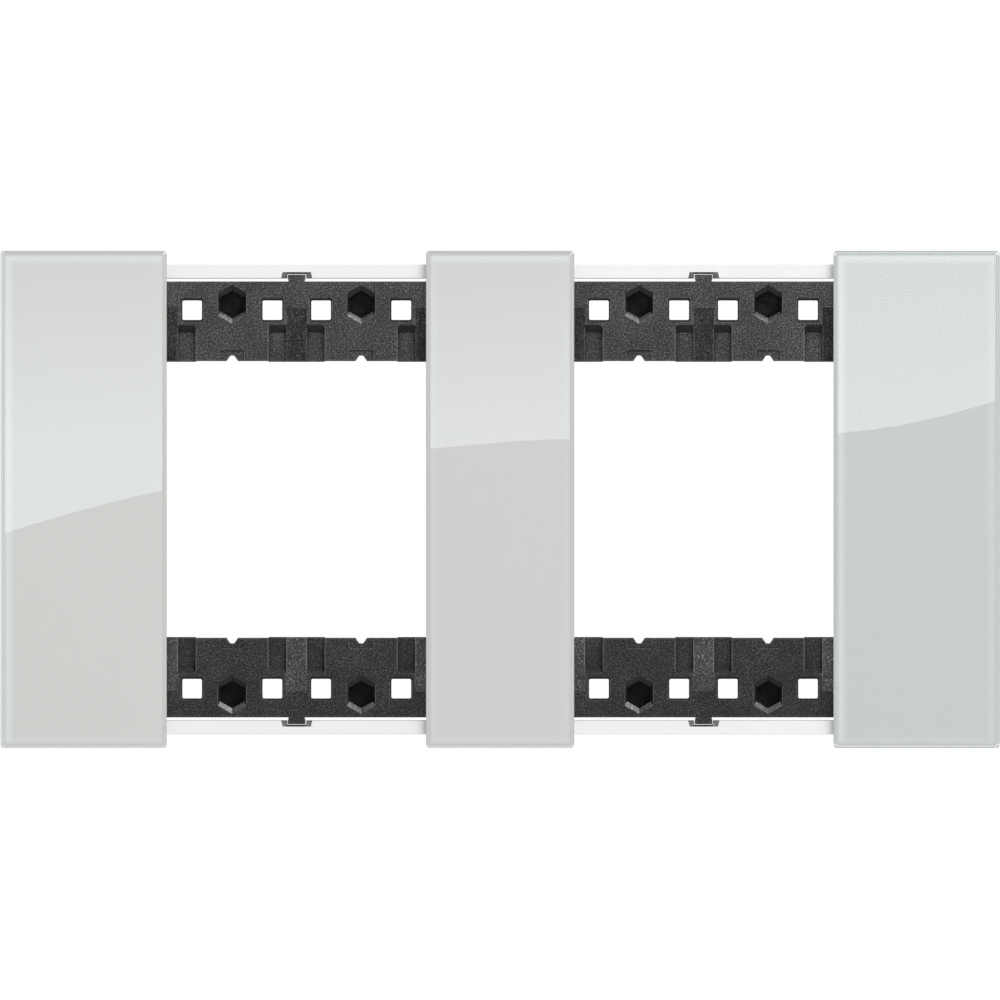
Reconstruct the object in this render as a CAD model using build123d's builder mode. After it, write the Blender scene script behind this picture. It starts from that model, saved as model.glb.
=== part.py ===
"""Two-gang wall switch frame: a glass cover snapped over two support frames.

Frame: X right, Z up, the front faces -Y. The wall is the plane Y = 0, and the origin lies on it,
midway between the two wall boxes. A depth is a distance in front of the wall. All sizes are in mm.
"""

import os
from math import cos, radians, tan

from build123d import *

# Windows and wall boxes
module_pitch = 22.5  # width of one switch module
module_play = 0.2  # spare width in a window that holds two modules
screw_setback = 7.4  # from a window's edge to the box screw beside it
neighbour_screw_gap = 11.0  # between the nearest screws of the two boxes

window_width = 2 * module_pitch + module_play
screw_pitch = window_width + 2 * screw_setback  # comes to 60, as on the boxes
box_pitch = screw_pitch + neighbour_screw_gap  # comes to 71, as between joined boxes

# Box screws
screw_radius = 1.6
screw_neck_radius = 1.25  # waisted between the head and the wall, so a screw stays captive
screw_head_radius = 3.2
screw_head_height = 2.2
screw_head_edge = 0.6
screw_reach = 10.0  # how far a screw goes into the wall box
drive_length = 3.6
drive_width = 0.9
drive_depth = 1.2

# Support frames
support_gap = 0.6  # between the two supports
support_margin = 0.5  # the support's window is wider than the glass window by this on each side
flange_lift = 0.8  # the side flanges stand off the wall
flange_thickness = 2.2
head_room = 0.8  # the bars stand higher than the screw heads by this
slot_length = 8.0
slot_clearance = 0.5
bar_opening = 48.05  # clear height between the bars
bar_height = 14.0
bar_wall = 1.6
bar_skin = 2.4
rib_wall = 1.2

# Details on the face of a bar
hole_width = 3.46
hole_height = 3.43
hole_corner = 0.2
hole_lead_side = 0.2
hole_lead_end = 0.35
hole_lead_depth = 0.35
hole_sleeve = 1.0  # wall round a hole, behind the skin
hole_margin = 4.25  # from the module's boundary to a hole's centre
hole_setback = 5.0  # from the bar's outer edge to a hole's centre
pocket_across = 4.2  # across the flats of the hexagon
pocket_lead_side = 0.35
pocket_lead_point = 0.95
pocket_lead_depth = 0.7
pocket_setback = 4.0
pocket_floor = 1.2
pocket_wall = 1.0
groove_width = 3.1
groove_margin = 1.8  # from the module's boundary to a groove
groove_setback = 7.6  # from the bar's outer edge to a groove's end
groove_depth = 1.3
groove_end_slope = 1.3
groove_corner = 0.7
pad_inset = 0.13
notch_mouth = 2.0
notch_tip = 0.7
notch_depth = 0.95
notch_round = 0.25
relief_width = 4.1
relief_height = 1.85
relief_depth = 0.3
relief_corner = 0.4
relief_draft = 25.0  # degrees
ramp_setback = 4.6  # from the bar's outer edge to the top of a ramp
ramp_drop = 0.7

# Snap tabs on the outer edges of the bars
tab_width = 3.08
tab_neck = 2.85
tab_neck_height = 0.35
tab_height = 1.2
tab_depth = 3.4

# Panel carrier
skirt_clearance = 0.55  # between the carrier's skirt and the supports
skirt_lift = 0.5  # the skirt's rear edge stands off the wall
skirt_wall = 2.2
skirt_corner = 1.0
rail_height = 2.4
rail_proud = 0.8  # the rails stand in front of the bars by this
cover_clearance = 0.4  # between the carrier's plates and the bars
plate_thickness = 1.6
plate_inset = 0.6
seat_wall = 1.2
seat_end_gap = 1.2
seat_rib_height = 11.5  # above and below the middle
bay_rib_depth = 4.4
bay_rib_wall = 1.0
bay_rib_pitch = 12.0
bay_rib_count = 5
catch_roof_gap = 0.4  # between a tab and the roof of its catch
catch_side_gap = 0.93
catch_flare = 0.23
catch_ridge_height = 0.3
catch_ridge_length = 1.4
catch_ridge_play = 0.2
cheek_gap = 0.12  # between a tab and the cheeks beside it in the catch
cheek_setback = 2.6  # from the rail's front to the cheeks

# Glass panels and the colour films behind them
side_panel_width = 28.95
glass_overhang = 2.32  # the glass stands out past the skirt
glass_thickness = 2.2
glass_corner = 0.6
glass_mitre_corner = 0.06
glass_bevel_width = 0.75
glass_bevel_depth = 0.4
film_thickness = 0.2
film_inset = 0.15

# Places across the object
left_box = -box_pitch / 2
right_box = box_pitch / 2
screw_offset = screw_pitch / 2
support_width = box_pitch - support_gap
support_window = window_width + 2 * support_margin
flange_width = (support_width - support_window) / 2
flange_offset = (support_width + support_window) / 4
module_offsets = (-module_pitch / 2, module_pitch / 2)
centre_panel_width = box_pitch - window_width
cover_half_width = box_pitch / 2 + window_width / 2 + side_panel_width
side_panel_offset = cover_half_width - side_panel_width / 2
skirt_half_width = cover_half_width - glass_overhang
support_half_reach = box_pitch / 2 + support_width / 2

# Places up the object
bar_inner = bar_opening / 2
bar_outer = bar_inner + bar_height
bar_middle = bar_inner + bar_height / 2
tab_top = bar_outer + tab_height
rail_inner = bar_outer + skirt_clearance
rail_outer = rail_inner + rail_height
catch_roof = tab_top + catch_roof_gap
glass_height = 2 * (rail_outer + glass_overhang)
hole_row = bar_outer - hole_setback
pocket_row = bar_outer - pocket_setback
groove_end = bar_outer - groove_setback
ramp_top = bar_outer - ramp_setback

# Depths in front of the wall
flange_front = flange_lift + flange_thickness
support_depth = flange_front + screw_head_height + head_room
tab_back = support_depth - tab_depth
rail_front = support_depth + rail_proud
plate_back = support_depth + cover_clearance
plate_front = plate_back + plate_thickness
glass_back = plate_front + film_thickness
glass_front = glass_back + glass_thickness


def front_plane(depth, centre_x=0.0):
    """Plane that faces the viewer, with its X to the right and its Y up."""
    return Plane(origin=(centre_x, -depth, 0), x_dir=(1, 0, 0), z_dir=(0, -1, 0))


def hexagon_points(half_width, half_height):
    """Corners of a hexagon with a point at its top and bottom and upright sides."""
    side = half_height - half_width * tan(radians(30))
    return [
        (half_width, -side),
        (half_width, side),
        (0, half_height),
        (-half_width, side),
        (-half_width, -side),
        (0, -half_height),
    ]


os.makedirs("parts", exist_ok=True)

# Support frames: one moulding, used for the left and the right box
pad_width = module_pitch - 2 * (groove_margin + groove_width)
hole_offset = module_pitch / 2 - hole_margin
groove_offset = module_pitch / 2 - groove_margin - groove_width / 2
hole_places = [(m + side * hole_offset, hole_row) for m in module_offsets for side in (-1, 1)]
pocket_places = [(m, pocket_row) for m in module_offsets]
ramp_zones = [
    (-support_width / 2, -module_pitch + groove_margin),
    (-groove_margin, groove_margin),
    (module_pitch - groove_margin, support_width / 2),
]
pocket_half_width = pocket_across / 2
pocket_half_height = pocket_half_width / cos(radians(30))
pocket_hexagon = hexagon_points(pocket_half_width, pocket_half_height)
pocket_rim = hexagon_points(pocket_half_width + pocket_lead_side, pocket_half_height + pocket_lead_point)
pocket_boss = hexagon_points(
    pocket_half_width + pocket_wall, pocket_half_height + pocket_wall / cos(radians(30))
)

with BuildPart() as support_moulding:
    # Upper bar, with its window edge set back along the pads and notched at each module
    with BuildSketch(front_plane(0)):
        with Locations((0, bar_middle)):
            Rectangle(support_width, bar_height)
        for module_x in module_offsets:
            with Locations((module_x, bar_inner)):
                Rectangle(pad_width, 2 * pad_inset, mode=Mode.SUBTRACT)
            with BuildSketch(mode=Mode.SUBTRACT) as notch:
                with Locations((module_x, bar_inner)):
                    Polygon(
                        (-notch_mouth / 2, 0),
                        (notch_mouth / 2, 0),
                        (notch_mouth / 2, pad_inset),
                        (notch_tip / 2, pad_inset + notch_depth),
                        (-notch_tip / 2, pad_inset + notch_depth),
                        (-notch_mouth / 2, pad_inset),
                        align=None,
                    )
                fillet(notch.vertices().group_by(Axis.Y)[-1], notch_round)
    extrude(amount=support_depth)

    # Snap tab on the outer edge, with a head a little wider than its neck
    with BuildSketch(front_plane(tab_back)):
        with Locations((0, bar_outer)):
            Rectangle(tab_neck, 2 * tab_neck_height)
        with Locations((0, bar_outer + tab_neck_height)):
            Rectangle(tab_width, tab_height - tab_neck_height, align=(Align.CENTER, Align.MIN))
    extrude(amount=tab_depth)

    # Hollow back, which leaves the skin, the outer walls, ribs, sleeves and bosses
    with BuildSketch(front_plane(0)):
        with Locations((0, bar_middle)):
            Rectangle(support_width - 2 * bar_wall, bar_height - 2 * bar_wall)
        with Locations(*hole_places):
            Rectangle(hole_width + 2 * hole_sleeve, hole_height + 2 * hole_sleeve, mode=Mode.SUBTRACT)
        with Locations(*pocket_places):
            Polygon(*pocket_boss, align=None, mode=Mode.SUBTRACT)
        with Locations((-module_pitch, bar_middle), (0, bar_middle), (module_pitch, bar_middle)):
            Rectangle(rib_wall, bar_height, mode=Mode.SUBTRACT)
    extrude(amount=support_depth - bar_skin, mode=Mode.SUBTRACT)

    # Square holes with a lead-in
    with BuildSketch(front_plane(0)) as openings:
        with Locations(*hole_places):
            Rectangle(hole_width, hole_height)
        chamfer(openings.vertices(), hole_corner)
    extrude(amount=support_depth, mode=Mode.SUBTRACT)
    for place in hole_places:
        for depth, width, height in (
            (support_depth - hole_lead_depth, hole_width, hole_height),
            (support_depth, hole_width + 2 * hole_lead_side, hole_height + 2 * hole_lead_end),
        ):
            with BuildSketch(front_plane(depth)) as mouth:
                with Locations(place):
                    Rectangle(width, height)
                chamfer(mouth.vertices(), hole_corner)
        loft(ruled=True, mode=Mode.SUBTRACT)

    # Blind hexagonal pockets with sloping mouths
    with BuildSketch(front_plane(pocket_floor)):
        with Locations(*pocket_places):
            Polygon(*pocket_hexagon, align=None)
    extrude(amount=support_depth - pocket_floor, mode=Mode.SUBTRACT)
    for place in pocket_places:
        with BuildSketch(front_plane(support_depth - pocket_lead_depth)):
            with Locations(place):
                Polygon(*pocket_hexagon, align=None)
        with BuildSketch(front_plane(support_depth)):
            with Locations(place):
                Polygon(*pocket_rim, align=None)
        loft(ruled=True, mode=Mode.SUBTRACT)

    # Grooves with a sloping end, open to the window and rounded beside the pads
    for module_x in module_offsets:
        for side in (-1, 1):
            for depth, end in (
                (support_depth - groove_depth, groove_end - groove_end_slope),
                (support_depth, groove_end),
            ):
                with BuildSketch(front_plane(depth)) as groove:
                    with Locations((module_x + side * groove_offset, bar_inner - bar_wall)):
                        Rectangle(
                            groove_width, end - bar_inner + bar_wall, align=(Align.CENTER, Align.MIN)
                        )
                    corners = groove.vertices().group_by(Axis.Y)[-1].sort_by(Axis.X)
                    fillet(corners[0] if side > 0 else corners[-1], groove_corner)
            loft(ruled=True, mode=Mode.SUBTRACT)

    # Shallow reliefs round the notches
    with BuildSketch(front_plane(support_depth)):
        with Locations(*[(m, bar_inner + pad_inset) for m in module_offsets]):
            RectangleRounded(relief_width, 2 * relief_height, relief_corner)
    extrude(amount=-relief_depth, taper=relief_draft, mode=Mode.SUBTRACT)

    # Ramps that fall back towards the window beside and between the modules
    for start, end in ramp_zones:
        with BuildSketch(Plane.YZ.offset(start)):
            Polygon(
                (-support_depth, ramp_top),
                (-support_depth, bar_inner),
                (ramp_drop - support_depth, bar_inner),
                align=None,
            )
        extrude(amount=end - start, mode=Mode.SUBTRACT)

    # Lower bar, then the side flanges with their screw slots
    mirror(about=Plane.XY)
    with BuildSketch(front_plane(flange_lift)):
        with Locations((-flange_offset, 0), (flange_offset, 0)):
            Rectangle(flange_width, bar_opening + 2 * bar_wall)
        with Locations((-screw_offset, 0), (screw_offset, 0)):
            SlotOverall(slot_length, 2 * (screw_radius + slot_clearance), mode=Mode.SUBTRACT)
    extrude(amount=flange_thickness)

for name, box_x in (("left", left_box), ("right", right_box)):
    with BuildPart() as support_frame:
        with Locations((box_x, 0, 0)):
            add(support_moulding.part)
    support_frame.part.label = f"{name}_support_frame"
    export_step(support_frame.part, f"parts/{name}_support_frame.step")

# Box screws: four alike, each seated on a flange with its neck in the slot
screw_places = [(box_x + side * screw_offset, 0) for box_x in (left_box, right_box) for side in (-1, 1)]
with BuildPart() as box_screws:
    with BuildSketch(front_plane(flange_front)):
        with Locations(*screw_places):
            Circle(screw_head_radius)
    extrude(amount=screw_head_height)
    chamfer(box_screws.edges().group_by(Axis.Y)[0], screw_head_edge)
    with BuildSketch(front_plane(flange_front + screw_head_height)):
        with Locations(*screw_places):
            Rectangle(drive_length, drive_width)
            Rectangle(drive_width, drive_length)
    extrude(amount=-drive_depth, mode=Mode.SUBTRACT)
    with BuildSketch(front_plane(flange_front)):
        with Locations(*screw_places):
            Circle(screw_neck_radius)
    extrude(amount=-flange_front)
    with BuildSketch(front_plane(0)):
        with Locations(*screw_places):
            Circle(screw_radius)
    extrude(amount=-screw_reach)
box_screws.part.label = "box_screws"
export_step(box_screws.part, "parts/box_screws.step")

# Panel carrier: skirt, three plates, seats on the flanges, and stiffening ribs
panels = [
    ("left", -side_panel_offset, side_panel_width),
    ("centre", 0, centre_panel_width),
    ("right", side_panel_offset, side_panel_width),
]
seat_offset = window_width / 2 + plate_inset + seat_wall / 2
catch_half = tab_width / 2 + catch_side_gap
seat_places = [(box_x + side * seat_offset, 0) for box_x in (left_box, right_box) for side in (-1, 1)]
guide_offset = support_half_reach + skirt_clearance + seat_wall / 2
bay_start = guide_offset + seat_wall / 2
bay_end = skirt_half_width - skirt_wall
side_seat_start = right_box + seat_offset

with BuildPart() as panel_carrier:
    # Skirt, whose top and bottom show as rails, with a catch for each snap tab
    with BuildSketch(front_plane(skirt_lift)):
        RectangleRounded(2 * skirt_half_width, 2 * rail_outer, skirt_corner)
        Rectangle(2 * (skirt_half_width - skirt_wall), 2 * rail_inner, mode=Mode.SUBTRACT)
        for box_x in (left_box, right_box):
            for end in (-1, 1):
                Polygon(
                    (box_x - catch_half - catch_flare, end * rail_inner),
                    (box_x - catch_half, end * catch_roof),
                    (box_x + catch_half, end * catch_roof),
                    (box_x + catch_half + catch_flare, end * rail_inner),
                    align=None,
                    mode=Mode.SUBTRACT,
                )
    extrude(amount=rail_front - skirt_lift)

    # Ridges in the catches, which lie behind the tabs
    ridge_front = tab_back - catch_ridge_play
    ridge_back = ridge_front - catch_ridge_length
    for box_x in (left_box, right_box):
        for end in (-1, 1):
            with BuildSketch(Plane.YZ.offset(box_x - catch_half)):
                Polygon(
                    (-ridge_front, end * catch_roof),
                    (-ridge_back, end * catch_roof),
                    (-(ridge_front + ridge_back) / 2, end * (catch_roof - catch_ridge_height)),
                    align=None,
                )
            extrude(amount=2 * catch_half)

    # Cheeks that close the catches beside the tabs
    cheek_width = catch_side_gap + catch_flare - cheek_gap
    with BuildSketch(front_plane(skirt_lift)):
        for box_x in (left_box, right_box):
            for side in (-1, 1):
                cheek_x = box_x + side * (tab_width / 2 + cheek_gap + cheek_width / 2)
                for end in (-1, 1):
                    with Locations((cheek_x, end * (rail_inner + catch_roof) / 2)):
                        Rectangle(cheek_width, catch_roof - rail_inner)
    extrude(amount=rail_front - cheek_setback - skirt_lift)

    # Plates under the glass
    with BuildSketch(front_plane(plate_back)):
        for name, panel_x, width in panels:
            with Locations((panel_x, 0)):
                Rectangle(width - 2 * plate_inset, glass_height - 2 * plate_inset)
    extrude(amount=plate_thickness)

    # Walls along the windows and cross ribs, seated on the flanges
    with BuildSketch(front_plane(flange_front)):
        with Locations(*seat_places):
            Rectangle(seat_wall, bar_opening - 2 * seat_end_gap)
        for row in (-seat_rib_height, seat_rib_height):
            with Locations((0, row)):
                Rectangle(2 * (right_box - seat_offset), seat_wall)
            for side in (-1, 1):
                with Locations((side * (side_seat_start + guide_offset) / 2, row)):
                    Rectangle(guide_offset - side_seat_start, seat_wall)
    extrude(amount=plate_back - flange_front)

    # Guide walls beside the supports, and ribs across the end bays
    with BuildSketch(front_plane(plate_back - bay_rib_depth)):
        for side in (-1, 1):
            with Locations((side * guide_offset, 0)):
                Rectangle(seat_wall, 2 * rail_inner)
            with Locations((side * (bay_start + bay_end) / 2, 0)):
                with GridLocations(0, bay_rib_pitch, 1, bay_rib_count):
                    Rectangle(bay_end - bay_start, bay_rib_wall)
    extrude(amount=bay_rib_depth)
panel_carrier.part.label = "panel_carrier"
export_step(panel_carrier.part, "parts/panel_carrier.step")

# Colour films bonded to the plates, and bevelled glass panels bonded to the films
for name, panel_x, width in panels:
    with BuildPart() as colour_film:
        with BuildSketch(front_plane(plate_front, panel_x)):
            Rectangle(width - 2 * film_inset, glass_height - 2 * film_inset)
        extrude(amount=film_thickness)
    colour_film.part.label = f"{name}_colour_film"
    export_step(colour_film.part, f"parts/{name}_colour_film.step")

    bevel_back = glass_front - glass_bevel_depth
    with BuildPart() as glass_panel:
        with BuildSketch(front_plane(glass_back, panel_x)):
            RectangleRounded(width, glass_height, glass_corner)
        extrude(amount=bevel_back - glass_back)
        with BuildSketch(front_plane(bevel_back, panel_x)):
            RectangleRounded(width, glass_height, glass_corner)
        with BuildSketch(front_plane(glass_front, panel_x)):
            RectangleRounded(
                width - 2 * glass_bevel_width,
                glass_height - 2 * glass_bevel_width,
                glass_mitre_corner,
            )
        loft(ruled=True)
    glass_panel.part.label = f"{name}_glass_panel"
    export_step(glass_panel.part, f"parts/{name}_glass_panel.step")
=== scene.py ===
"""Looks of the two-gang switch frame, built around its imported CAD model. All lengths are in metres."""

from math import cos, floor, pi, radians, sin

import bmesh
import bpy
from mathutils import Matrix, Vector


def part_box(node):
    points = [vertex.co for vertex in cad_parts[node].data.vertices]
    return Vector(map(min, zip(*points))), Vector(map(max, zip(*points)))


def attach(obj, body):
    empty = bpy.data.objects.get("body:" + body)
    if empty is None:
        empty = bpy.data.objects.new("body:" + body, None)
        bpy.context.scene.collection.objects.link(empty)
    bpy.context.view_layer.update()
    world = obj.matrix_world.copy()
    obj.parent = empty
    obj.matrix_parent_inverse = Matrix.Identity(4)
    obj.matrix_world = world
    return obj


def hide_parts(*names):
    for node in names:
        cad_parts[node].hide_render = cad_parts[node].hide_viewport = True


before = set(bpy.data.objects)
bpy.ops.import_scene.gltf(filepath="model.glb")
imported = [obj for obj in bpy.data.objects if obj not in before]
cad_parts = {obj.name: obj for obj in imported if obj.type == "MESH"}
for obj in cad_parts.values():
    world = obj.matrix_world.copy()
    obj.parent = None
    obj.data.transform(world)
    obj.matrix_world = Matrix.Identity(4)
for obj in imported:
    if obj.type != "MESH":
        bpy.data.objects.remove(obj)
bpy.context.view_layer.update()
scene = bpy.context.scene

# Support frames: two like mouldings of dark glass-filled nylon, one screwed to each wall box. The
# tool was spark eroded, so every face has an even sparkling grain, and each edge has a small radius.
# Front edges facing up or sideways get painted highlights, and those facing down stay dull, with painted
# shade.
support_names = ("left_support_frame", "right_support_frame")
support_edge_radius = 0.0002
radius_samples = 6
grain_size = 0.00026
grain_roughness = 0.6
grain_height = 0.00002
grain_relief = 0.6
flow_mark_size = 0.006
flow_share = 0.15
sparkle_step = (0.52, 0.84)
pit_colour = (0.012, 0.012, 0.0115, 1)
crest_colour = (0.060, 0.060, 0.0575, 1)
pit_roughness = 0.62
crest_polish = 0.16
reach_samples = 8
# Painted shade: where the piece closes in round a point, as in pockets, its colour darkens and its gloss
# drops.
pocket_shade_reach = 0.0036
pocket_shade_step = (0.36, 0.8)
pocket_shade_colour = (0.034, 0.034, 0.0327, 1)
bar_inner_edge = 0.0240
bar_outer_edge = 0.0380
bar_rim = 0.0008
# Painted highlights: lighter lines on convex front edges, strongest where they face up or sideways.
edge_highlight_reach = 0.0005
edge_step = (0.55, 0.95)
front_step = (0.72, 0.9)
front_edge_step = (0.5, 0.7)
flat_step = (0.6, 0.95)
sideways_step = (0.05, 0.4)
level_step = (-0.06, -0.01)
upward_step = (0.1, 0.4)
downward_step = (0.08, 0.3)
least_edge_highlight = 0.08
side_edge_highlight = 0.6
top_edge_highlight = 0.6
low_side_share = 0.4
edge_highlight_colour = (0.34, 0.34, 0.33, 1)
# Painted shade: front edges that face down are darker and less glossy.
underside_shade = 0.7
underside_dulling = 0.8
least_gloss = 0.25
sparkle_gloss = 0.9
burnish_gloss = 0.5


class Finish:
    """One output of a set of shader nodes. Arithmetic on it adds Math nodes."""

    def __init__(self, tree, socket=None):
        self.tree = tree
        self.socket = socket

    def node(self, kind, settings=None, sockets=None, output=0):
        """Add a node with its settings, then the values or links of its sockets."""
        made = self.tree.nodes.new("ShaderNode" + kind)
        for name, value in (settings or {}).items():
            setattr(made, name, value)
        for name, value in (sockets or {}).items():
            if isinstance(value, Finish):
                self.tree.links.new(value.socket, made.inputs[name])
            else:
                made.inputs[name].default_value = value
        return Finish(self.tree, made.outputs[output] if made.outputs else None)

    def maths(self, operation, *values):
        return self.node("Math", {"operation": operation}, dict(enumerate(values)))

    def larger(self, first, second):
        return self.maths("MAXIMUM", first, second)

    def along(self, axis):
        """One axis of this vector."""
        return self.node("SeparateXYZ", {}, {"Vector": self}, axis)

    def blend(self, factor, first, second):
        """A colour that goes from first to second as factor goes from 0 to 1."""
        factor_socket, first_colour, second_colour, mixed_colour = 0, 6, 7, 2
        return self.node(
            "Mix",
            {"data_type": "RGBA"},
            {factor_socket: factor, first_colour: first, second_colour: second},
            mixed_colour,
        )

    def mix(self, factor, first, second):
        """A shader that goes from first to second as factor goes from 0 to 1."""
        return self.node("MixShader", {}, dict(enumerate((factor, first, second))))

    def ease(self, value, start, end):
        """A smooth step from 0 at start to 1 at end."""
        return self.node(
            "MapRange",
            {"interpolation_type": "SMOOTHSTEP"},
            {"Value": value, "From Min": start, "From Max": end},
        )

    def __add__(self, other):
        return self.maths("ADD", self, other)

    def __sub__(self, other):
        return self.maths("SUBTRACT", self, other)

    def __rsub__(self, other):
        return self.maths("SUBTRACT", other, self)

    def __mul__(self, other):
        return self.maths("MULTIPLY", self, other)

    def __neg__(self):
        return self.maths("MULTIPLY", self, -1)

    def __abs__(self):
        return self.maths("ABSOLUTE", self)

    __radd__ = __add__
    __rmul__ = __mul__


def new_finish(name):
    """An empty material, and what adds nodes to it."""
    material = bpy.data.materials.new(name)
    material.use_nodes = True
    material.node_tree.nodes.clear()
    return material, Finish(material.node_tree)


def noise(shader, place, size, detail=2.0, roughness=0.5):
    """Cloudy marks of about this size, from 0 to 1."""
    return shader.node(
        "TexNoise", {}, {"Vector": place, "Scale": 1 / size, "Detail": detail, "Roughness": roughness}
    )


def openness(shader, reach, inside=False):
    """1 where no other face of the piece is within reach in front of this one or, inside, behind it."""
    return shader.node(
        "AmbientOcclusion",
        {"samples": reach_samples, "only_local": True, "inside": inside},
        {"Distance": reach},
        "AO",
    )


def paint(piece, material):
    piece.data.materials.clear()
    piece.data.materials.append(material)


dark_moulding, shader = new_finish("dark_moulding")
place = shader.node("TexCoord", output="Object")
grain = noise(shader, place, grain_size, roughness=grain_roughness)
flow = noise(shader, place, flow_mark_size)
sparkle = shader.ease(grain + flow_share * flow, *sparkle_step)
grained = shader.blend(sparkle, pit_colour, crest_colour)

rounded = shader.node("Bevel", {"samples": radius_samples}, {"Radius": support_edge_radius})
turn_x, turn_y, turn_z = (rounded.along(axis) for axis in "XYZ")
relief = shader.node(
    "Bump",
    {},
    {"Strength": grain_relief, "Distance": grain_height, "Height": grain, "Normal": rounded},
)

height = abs(place.along("Z"))
above_rim = shader.ease(height, bar_inner_edge, bar_inner_edge + bar_rim)
below_rim = 1 - shader.ease(height, bar_outer_edge - bar_rim, bar_outer_edge)
on_bar = above_rim * below_rim
# Painted shade: in pockets and hollows the colour darkens and the coat's gloss drops.
unshaded = shader.ease(openness(shader, pocket_shade_reach), *pocket_shade_step)
edge = unshaded * (1 - shader.ease(openness(shader, edge_highlight_reach, inside=True), *edge_step))
front_side = shader.ease(abs(turn_y), *front_step)
front_edge = shader.ease(abs(turn_y), *front_edge_step)
turned_down = shader.ease(-turn_z, *downward_step) * front_edge
level = shader.ease(turn_z, *level_step)
sideways = shader.ease(abs(turn_x), *sideways_step) * (low_side_share + (1 - low_side_share) * level)
upward = on_bar * shader.ease(turn_z, *upward_step)
edge_highlight_share = least_edge_highlight + side_edge_highlight * sideways + top_edge_highlight * upward
# Painted highlight: convex front edges facing up or sideways turn lighter, those facing down do not.
edge_highlight = edge * front_side * (1 - turned_down) * edge_highlight_share
highlighted = shader.blend(edge_highlight, grained, edge_highlight_colour)
burnish = on_bar * (1 - shader.ease(abs(turn_y), *flat_step))
gloss = least_gloss + sparkle_gloss * sparkle + burnish_gloss * burnish
moulded = shader.node(
    "BsdfPrincipled",
    {},
    {
        # Painted shade darkens hollows and down-facing edges in this colour, and painted highlights
        # lighten the other edges.
        "Base Color": shader.blend(unshaded * (1 - underside_shade * turned_down), pocket_shade_colour, highlighted),
        "Roughness": pit_roughness - crest_polish * grain,
        "Specular IOR Level": 0.0,
        "Coat Weight": unshaded * (1 - underside_dulling * turned_down) * gloss,
        "Coat Roughness": 0.2,
        "Normal": relief,
    },
)
shader.node("OutputMaterial", {}, {"Surface": moulded})
for name in support_names:
    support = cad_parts[name]
    paint(support, dark_moulding)

# Box screws: four captive steel screws, zinc plated, each driven through a flange's slot into the
# wall box. The heads are cold headed with a cross recess, and the thread is rolled on the shank.
thread_pitch = 0.0011
thread_root = 0.00118
thread_crest = 0.0016
flank_slope = 1.6
root_flat = 0.2
thread_fade = 0.0009
thread_overlap = 0.0003
thread_steps = 36
rings_per_turn = 10
shank_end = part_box("box_screws")[1].y
least_screw_gap = 0.002
same_point = 1e-6
zinc_colour = (0.56, 0.56, 0.55, 1)
dull_zinc_colour = (0.40, 0.40, 0.385, 1)
bloom_size = 0.0012
bloom_step = (0.35, 0.7)
bright_roughness = 0.26
bloom_roughness = 0.22
scuff_size = 0.00015
scuff_height = 0.00001
scuff_relief = 0.25

screws_mesh = bmesh.new()
screws_mesh.from_mesh(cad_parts["box_screws"].data)
bmesh.ops.remove_doubles(screws_mesh, verts=screws_mesh.verts, dist=same_point)
behind_wall = [face for face in screws_mesh.faces if all(v.co.y > -same_point for v in face.verts)]
bmesh.ops.delete(screws_mesh, geom=behind_wall, context="FACES")
bmesh.ops.holes_fill(screws_mesh, edges=[edge for edge in screws_mesh.edges if edge.is_boundary])
screw_spans = []
for x in sorted(vertex.co.x for vertex in screws_mesh.verts):
    if not screw_spans or x - screw_spans[-1][1] > least_screw_gap:
        screw_spans.append([x, x])
    screw_spans[-1][1] = x


def thread_radius(angle, depth):
    """Distance from a screw's axis to its rolled thread, which runs out at both ends."""
    turn = depth / thread_pitch - angle / (2 * pi)
    flank = abs(2 * (turn - floor(turn)) - 1)
    rise = max(0.0, min(1.0, flank_slope * flank - root_flat))
    fade = min(1.0, max(0.0, depth) / thread_fade, (shank_end - depth) / thread_fade)
    return thread_root + (thread_crest - thread_root) * rise * fade


thread_length = shank_end + thread_overlap
ring_count = round(thread_length / thread_pitch * rings_per_turn)
for left, right in screw_spans:
    screw_x = (left + right) / 2
    rings = []
    for ring in range(ring_count + 1):
        depth = -thread_overlap + thread_length * ring / ring_count
        loop = []
        for step in range(thread_steps):
            angle = 2 * pi * step / thread_steps
            radius = thread_radius(angle, depth)
            point = (screw_x + radius * cos(angle), depth, radius * sin(angle))
            loop.append(screws_mesh.verts.new(point))
        rings.append(loop)
    for lower, upper in zip(rings, rings[1:]):
        for step in range(thread_steps):
            after = (step + 1) % thread_steps
            screws_mesh.faces.new((lower[step], upper[step], upper[after], lower[after]))
    screws_mesh.faces.new(rings[0])
    screws_mesh.faces.new(reversed(rings[-1]))
bmesh.ops.recalc_face_normals(screws_mesh, faces=screws_mesh.faces)
threaded_mesh = bpy.data.meshes.new("threaded_box_screws")
screws_mesh.to_mesh(threaded_mesh)
screws_mesh.free()
threaded_screws = bpy.data.objects.new("threaded_box_screws", threaded_mesh)
scene.collection.objects.link(threaded_screws)

zinc_plate, shader = new_finish("zinc_plate")
place = shader.node("TexCoord", output="Object")
bloom = noise(shader, place, bloom_size, detail=4.0)
scuff = noise(shader, place, scuff_size)
scuffed = shader.node(
    "Bump", {}, {"Strength": scuff_relief, "Distance": scuff_height, "Height": scuff}
)
plated = shader.node(
    "BsdfPrincipled",
    {},
    {
        "Base Color": shader.blend(shader.ease(bloom, *bloom_step), zinc_colour, dull_zinc_colour),
        "Metallic": 1.0,
        "Roughness": bright_roughness + bloom_roughness * bloom,
        "Normal": scuffed,
    },
)
shader.node("OutputMaterial", {}, {"Surface": plated})
paint(threaded_screws, zinc_plate)
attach(threaded_screws, "supports")
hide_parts("box_screws")

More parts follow.
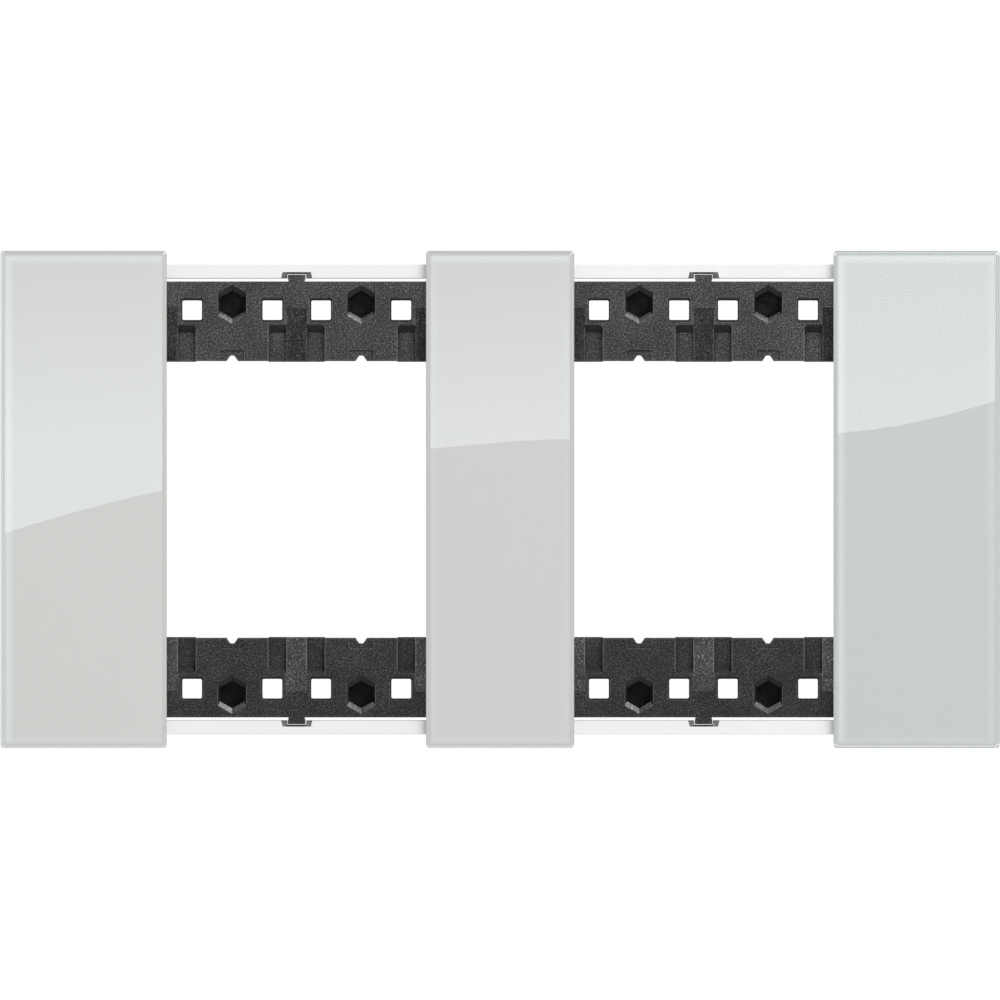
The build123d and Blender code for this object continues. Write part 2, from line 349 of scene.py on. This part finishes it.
# Panel carrier: one white ABS moulding with a matt face, which holds the three panels. The top and
# bottom of its skirt show as rails, and its four catches grip the tabs of both supports.
carrier_edge_radius = 0.0001
edge_segments = 2
flat_angle = radians(1)
sharp_angle = radians(24)
rail_white = (0.86, 0.86, 0.86, 1)
sink_white = (0.84, 0.84, 0.84, 1)
sink_mark_size = 0.012
sink_step = (0.3, 0.7)
orange_peel_size = 0.0005
orange_peel_height = 0.00002
orange_peel_relief = 0.2
matt_roughness = 0.42
peel_roughness = 0.12


def round_edges(piece, radius):
    """Join the facets of each face, and give every sharp edge a small radius."""
    weld = piece.modifiers.new("weld", "WELD")
    weld.merge_threshold = same_point
    faces = piece.modifiers.new("whole_faces", "DECIMATE")
    faces.decimate_type = "DISSOLVE"
    faces.angle_limit = flat_angle
    edges = piece.modifiers.new("edge_radius", "BEVEL")
    edges.width = radius
    edges.segments = edge_segments
    edges.limit_method = "ANGLE"
    edges.angle_limit = sharp_angle
    edges.use_clamp_overlap = True
    edges.harden_normals = True


matt_white, shader = new_finish("matt_white")
place = shader.node("TexCoord", output="Object")
orange_peel = noise(shader, place, orange_peel_size, detail=3.0)
sink = noise(shader, place, sink_mark_size)
peeled = shader.node(
    "Bump",
    {},
    {"Strength": orange_peel_relief, "Distance": orange_peel_height, "Height": orange_peel},
)
white_moulding = shader.node(
    "BsdfPrincipled",
    {},
    {
        "Base Color": shader.blend(shader.ease(sink, *sink_step), rail_white, sink_white),
        "Roughness": matt_roughness + peel_roughness * orange_peel,
        "Specular IOR Level": 0.0,
        "Normal": peeled,
    },
)
shader.node("OutputMaterial", {}, {"Surface": white_moulding})
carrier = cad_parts["panel_carrier"]
round_edges(carrier, carrier_edge_radius)
paint(carrier, matt_white)

# Colour films: thin pale printed sheets, bonded without air to the glass in front and the carrier's
# plate behind. Their borders carry painted light: a painted glow where the glass edges gather light,
# a painted darker rim, painted bright lines outside the glow, and a painted dark line at the cut edge.
film_bond = 0.00001
film_corner = 0.0003
corner_steps = 6
quarter_turn = 90
film_colours = {
    "left": (0.616, 0.621, 0.604, 1),
    "centre": (0.596, 0.598, 0.586, 1),
    "right": (0.541, 0.568, 0.548, 1),
}
# Painted light: a glow along each border where the glass edges gather light, stronger on some sides.
glow_step = (0.0011, 0.0024)
glow_colour = (0.70, 0.745, 0.735, 1)
border_glow = {
    "left": {"left": 0.75, "right": 0.08, "top": 0.8, "bottom": 0.2},
    "centre": {"left": 0.15, "right": 0.1, "top": 0.8, "bottom": 0.2},
    "right": {"left": 0.55, "right": 0.25, "top": 0.6, "bottom": 0.15},
}
# Painted shade: a slightly darker rim just inside the film's outer edge.
rim_shade_step = (0.00064, 0.00092)
rim_shade_tone = 0.955
# Painted light: the outermost band of the film is a little lighter than its body.
edge_band_light_tone = 1.03
edge_blur = 0.00004
# Painted highlights: bright glint lines close to the film's outer edge.
edge_light_start = {"left": 0.0, "centre": 0.0, "right": 0.0004}
edge_light_end = 0.00064
edge_light_colour = (0.84, 0.89, 0.90, 1)
edge_light = {
    "left": {"left": 0.5, "right": 0.05, "top": 0.0, "bottom": 0.4},
    "centre": {"left": 0.0, "right": 0.05, "top": 0.0, "bottom": 0.4},
    "right": {"left": 0.0, "right": 0.5, "top": 0.8, "bottom": 0.95},
}
# Painted shade: a dark line along the film's cut edge. The same darker tone colours the random pigment
# mottle.
edge_shade_end = 0.00034
edge_shade_and_mottle_tone = 0.84
pigment_size = 0.00025
pigment_share = 0.05
drift_size = 0.02
drift_share = 0.03
print_roughness = 0.6
pigment_roughness = 0.1


def sheet_mesh(name, low, high, corner):
    """A flat sheet with rounded corners that fills the box from low to high."""
    mesh = bmesh.new()
    corners = (
        (high.x - corner, high.z - corner),
        (low.x + corner, high.z - corner),
        (low.x + corner, low.z + corner),
        (high.x - corner, low.z + corner),
    )
    outline = []
    for turns, (centre_x, centre_z) in enumerate(corners):
        for step in range(corner_steps + 1):
            angle = radians(quarter_turn * turns + quarter_turn * step / corner_steps)
            outline.append((centre_x + corner * cos(angle), centre_z + corner * sin(angle)))
    front = mesh.faces.new([mesh.verts.new((x, low.y, z)) for x, z in outline])
    bmesh.ops.recalc_face_normals(mesh, faces=[front])
    back = bmesh.ops.extrude_face_region(mesh, geom=[front])
    moved = [item for item in back["geom"] if isinstance(item, bmesh.types.BMVert)]
    bmesh.ops.translate(mesh, verts=moved, vec=(0, high.y - low.y, 0))
    bmesh.ops.recalc_face_normals(mesh, faces=mesh.faces)
    data = bpy.data.meshes.new(name)
    mesh.to_mesh(data)
    mesh.free()
    return data


def toned(colour, tone):
    """The same colour, lighter or darker."""
    return (*(tone * part for part in colour[:3]), 1)


for side, body_colour in film_colours.items():
    node_name = f"{side}_colour_film"
    low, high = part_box(node_name)
    front_low = Vector((low.x, low.y - film_bond, low.z))
    film_mesh = sheet_mesh(node_name, front_low, high, film_corner)
    film = bpy.data.objects.new(f"{side}_film_sheet", film_mesh)
    scene.collection.objects.link(film)

    pale_film, shader = new_finish(f"{side}_pale_film")
    place = shader.node("TexCoord", output="Object")
    across, up = place.along("X"), place.along("Z")
    distances = {
        "left": across - low.x,
        "right": high.x - across,
        "top": high.z - up,
        "bottom": up - low.z,
    }
    light_start = edge_light_start[side]
    # Painted light and shade along each border of the film.
    glow = rim_shade = edge = lit = edge_shade_line = 0.0
    for border, distance in distances.items():
        bright = border_glow[side][border] * (1 - shader.ease(distance, *glow_step))
        glow = shader.larger(glow, bright)
        rim_shade = shader.larger(rim_shade, 1 - shader.ease(distance, *rim_shade_step))
        outside = 1 - shader.ease(distance, edge_light_end - 2 * edge_blur, edge_light_end)
        edge = shader.larger(edge, outside)
        begun = shader.ease(distance, light_start - edge_blur, light_start + edge_blur)
        lit = shader.larger(lit, edge_light[side][border] * begun * outside)
        outermost = 1 - shader.ease(distance, edge_shade_end - edge_blur, edge_shade_end + edge_blur)
        edge_shade_line = shader.larger(edge_shade_line, outermost)
    # This darker tone serves both the painted shade line at the edge and the pigment mottle.
    edge_shade_and_mottle_colour = toned(body_colour, edge_shade_and_mottle_tone)
    glow_painted = shader.blend(glow, body_colour, glow_colour)
    rim_shaded = shader.blend(rim_shade, glow_painted, toned(body_colour, rim_shade_tone))
    edge_band_lit = shader.blend(edge, rim_shaded, toned(body_colour, edge_band_light_tone))
    edge_shaded = shader.blend(edge_shade_line, edge_band_lit, edge_shade_and_mottle_colour)
    bordered = shader.blend(lit, edge_shaded, edge_light_colour)
    pigment = noise(shader, place, pigment_size, detail=3.0)
    drift = noise(shader, place, drift_size)
    mottle = pigment_share * pigment + drift_share * drift
    print_layer = shader.node(
        "BsdfPrincipled",
        {},
        {
            "Base Color": shader.blend(mottle, bordered, edge_shade_and_mottle_colour),
            "Roughness": print_roughness + pigment_roughness * pigment,
            "Specular IOR Level": 0.0,
        },
    )
    shader.node("OutputMaterial", {}, {"Surface": print_layer})
    paint(film, pale_film)
    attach(film, "cover")
    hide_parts(node_name)

# Glass panels: three tiles of clear float glass, cut, ground to a bevel all round, polished, and
# bonded to the films. The bevels carry painted shade, which makes them greyer than the faces, most
# of all along the top. As all float glass, its faces are flat but for a very faint long wave.
glass_names = ("left_glass_panel", "centre_glass_panel", "right_glass_panel")
glass_tint = (0.985, 1.0, 0.995, 1)
bevel_shade_tint = (0.80, 0.81, 0.80, 1)
top_bevel_shade_tint = (0.70, 0.71, 0.695, 1)
pane_step = (0.92, 0.97)
top_bevel_shade_step = (0.2, 0.4)
wave_size = 0.03
wave_height = 0.00001
wave_relief = 0.1

clear_glass, shader = new_finish("clear_glass")
place = shader.node("TexCoord", output="Object")
facing = shader.node("NewGeometry", output="Normal")
face_y, face_z = (facing.along(axis) for axis in "YZ")
bevelled = 1 - shader.ease(abs(face_y), *pane_step)
# Painted shade: the bevel faces are tinted grey, darkest on the top bevel.
bevel_shade = shader.blend(shader.ease(face_z, *top_bevel_shade_step), bevel_shade_tint, top_bevel_shade_tint)
wave = noise(shader, place, wave_size)
pane = shader.node(
    "BsdfPrincipled",
    {},
    {
        "Base Color": shader.blend(bevelled, glass_tint, bevel_shade),
        "Roughness": 0.0,
        "IOR": 1.5,
        "Transmission Weight": 1.0,
        "Normal": shader.node(
            "Bump", {}, {"Strength": wave_relief, "Distance": wave_height, "Height": wave}
        ),
    },
)
lamp_ray = shader.node("LightPath", output="Is Shadow Ray")
film_ray = shader.node("LightPath", output="Is Diffuse Ray")
open_way = shader.node("BsdfTransparent")
passing = shader.mix(shader.larger(lamp_ray, film_ray), pane, open_way)
shader.node("OutputMaterial", {}, {"Surface": passing})
for name in glass_names:
    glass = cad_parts[name]
    paint(glass, clear_glass)

# Viewpoint: a very long lens, far away and straight in front of the centre panel, so that the
# frame is seen as flat as in a catalogue and fills the picture's width.
view_width = 0.17423
lens_length = 800.0
sensor_width = 36.0
view_reach = 20.0
camera_aside = -0.00002
camera_height = -0.0001
camera_distance = view_width * lens_length / sensor_width
glass_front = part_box("centre_glass_panel")[0].y
upright = (radians(90), 0.0, 0.0)

scene.view_settings.view_transform = "Standard"
camera_data = bpy.data.cameras.new("viewpoint")
camera_data.lens = lens_length
camera_data.sensor_width = sensor_width
camera_data.clip_end = view_reach
camera = bpy.data.objects.new("viewpoint", camera_data)
camera.location = (camera_aside, glass_front - camera_distance, camera_height)
camera.rotation_euler = upright
scene.collection.objects.link(camera)
scene.camera = camera

# Studio light: a large soft lamp at the upper right in front of the frame, a small lamp above it at
# each side, and an even white surround. Each lamp has its place, its size, and the level of light
# that it gives to a white face turned to the front.
lamps = {
    "key_lamp": (Vector((0.80, -1.15, 0.95)), 1.2, 0.43),
    "top_lamp": (Vector((0.55, -0.25, 1.00)), 0.26, 0.0275),
    "left_lamp": (Vector((-0.55, -0.25, 1.00)), 0.26, 0.0066),
}
surround_light = 0.49
white = (1, 1, 1, 1)

for name, (lamp_place, lamp_size, lamp_level) in lamps.items():
    lamp_data = bpy.data.lights.new(name, "AREA")
    lamp_data.shape = "DISK"
    lamp_data.size = lamp_size
    front_share = -lamp_place.y / lamp_place.length
    lamp_data.energy = lamp_level * pi ** 2 * lamp_place.length_squared / front_share
    lamp = bpy.data.objects.new(name, lamp_data)
    lamp.location = lamp_place
    lamp.rotation_euler = (-lamp_place).to_track_quat("-Z", "Y").to_euler()
    scene.collection.objects.link(lamp)

world = bpy.data.worlds.new("white_surround")
world.use_nodes = True
world.node_tree.nodes.clear()
scene.world = world
shader = Finish(world.node_tree)
camera_ray = shader.node("LightPath", output="Is Camera Ray")
glossy_ray = shader.node("LightPath", output="Is Glossy Ray")
through_ray = shader.node("LightPath", output="Is Transmission Ray")
seen = shader.larger(camera_ray, shader.larger(glossy_ray, through_ray))
lighting = shader.node("Background", {}, {"Color": white, "Strength": surround_light})
backdrop = shader.node("Background", {}, {"Color": white, "Strength": 1.0})
surround = shader.mix(seen, lighting, backdrop)
shader.node("OutputWorld", {}, {"Surface": surround})

# Floor: a plain sheet of pale matt paper, laid well below the frame. It lies out of the picture
# from the front, and shows from above and from behind.
floor_height = -0.2
floor_side = 2
floor_front = -2.2
floor_back = 1.1
floor_colour = (0.80, 0.80, 0.79, 1)

floor_corners = (
    (-floor_side, floor_front, floor_height),
    (floor_side, floor_front, floor_height),
    (floor_side, floor_back, floor_height),
    (-floor_side, floor_back, floor_height),
)
floor_mesh = bpy.data.meshes.new("floor")
floor_mesh.from_pydata(floor_corners, [], [(0, 1, 2, 3)])
studio_floor = bpy.data.objects.new("floor", floor_mesh)
scene.collection.objects.link(studio_floor)
pale_floor, shader = new_finish("pale_floor")
matt = shader.node("BsdfPrincipled", {}, {"Base Color": floor_colour, "Roughness": 0.9})
shader.node("OutputMaterial", {}, {"Surface": matt})
paint(studio_floor, pale_floor)

# Reflected card: a bright upright card with a curved lower edge, hung in front of the frame. The
# camera doesn't see it. The glass and the supports alone show it, and its own sizes are those of
# its image on the glass, which card_scale brings out to where it hangs.
card_distance = 0.5
card_left_height = -0.0115
card_right_height = 0.0235
card_edge_reach = 0.105
card_edge = (
    (-card_edge_reach, card_left_height),
    (-0.0590, 0.0016),
    (0.0007, 0.0101),
    (0.0420, 0.0109),
    (0.0700, 0.0131),
    (card_edge_reach, card_right_height),
)
card_half_width = 0.45
card_top = 0.45
card_scale = (camera_distance + card_distance) / camera_distance
rise_start = 0.010 * card_scale
rise_end = 0.042 * card_scale
upper_start = 0.044 * card_scale
upper_end = 0.048 * card_scale
beside_start = 0.050 * card_scale
beside_end = 0.058 * card_scale
card_bright = 4.3
card_dim = 1.55
card_upper = 5.0
card_right = 0.45
card_right_rise = 1.5
cool_white = (0.87, 0.96, 1.0, 1)
black = (0, 0, 0, 1)

card_curve = bpy.data.curves.new("reflected_card", "CURVE")
card_curve.dimensions = "2D"
card_curve.fill_mode = "BOTH"
card_outline = card_curve.splines.new("BEZIER")
card_corners = (
    *card_edge,
    (card_half_width, card_right_height),
    (card_half_width, card_top),
    (-card_half_width, card_top),
    (-card_half_width, card_left_height),
)
card_outline.bezier_points.add(len(card_corners) - 1)
for point, (x, z) in zip(card_outline.bezier_points, card_corners):
    point.co = (x * card_scale, z * card_scale, 0)
    sharp = abs(x) >= card_edge_reach
    point.handle_left_type = point.handle_right_type = "VECTOR" if sharp else "AUTO"
card_outline.use_cyclic_u = True
card = bpy.data.objects.new("reflected_card", card_curve)
card.location = (camera_aside, glass_front - card_distance, camera_height)
card.rotation_euler = upright
card.visible_camera = False
card.visible_diffuse = False
card.visible_shadow = False
scene.collection.objects.link(card)

card_glow, shader = new_finish("card_glow")
place = shader.node("TexCoord", output="Object")
across, up = place.along("X"), place.along("Y")
rise = shader.node("MapRange", {}, {"Value": up, "From Min": rise_start, "From Max": rise_end})
upper = shader.ease(up, upper_start, upper_end)
beside = shader.ease(across, beside_start, beside_end)
fading = card_bright + (card_dim - card_bright) * rise
strength = fading + (card_upper - card_dim) * upper + beside * (card_right + card_right_rise * rise)
tone = shader.blend(upper, cool_white, white)
shine = shader.node("VectorMath", {"operation": "SCALE"}, {"Vector": tone, "Scale": strength})
lit_card = shader.node(
    "BsdfPrincipled",
    {},
    {"Base Color": black, "Specular IOR Level": 0.0, "Emission Color": shine, "Emission Strength": 1.0},
)
shader.node("OutputMaterial", {}, {"Surface": lit_card})
card_curve.materials.append(card_glow)
shown_in = bpy.data.collections.new("pieces_that_show_the_card")
for name in (*glass_names, *support_names):
    shown_in.objects.link(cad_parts[name])
card.light_linking.receiver_collection = shown_in
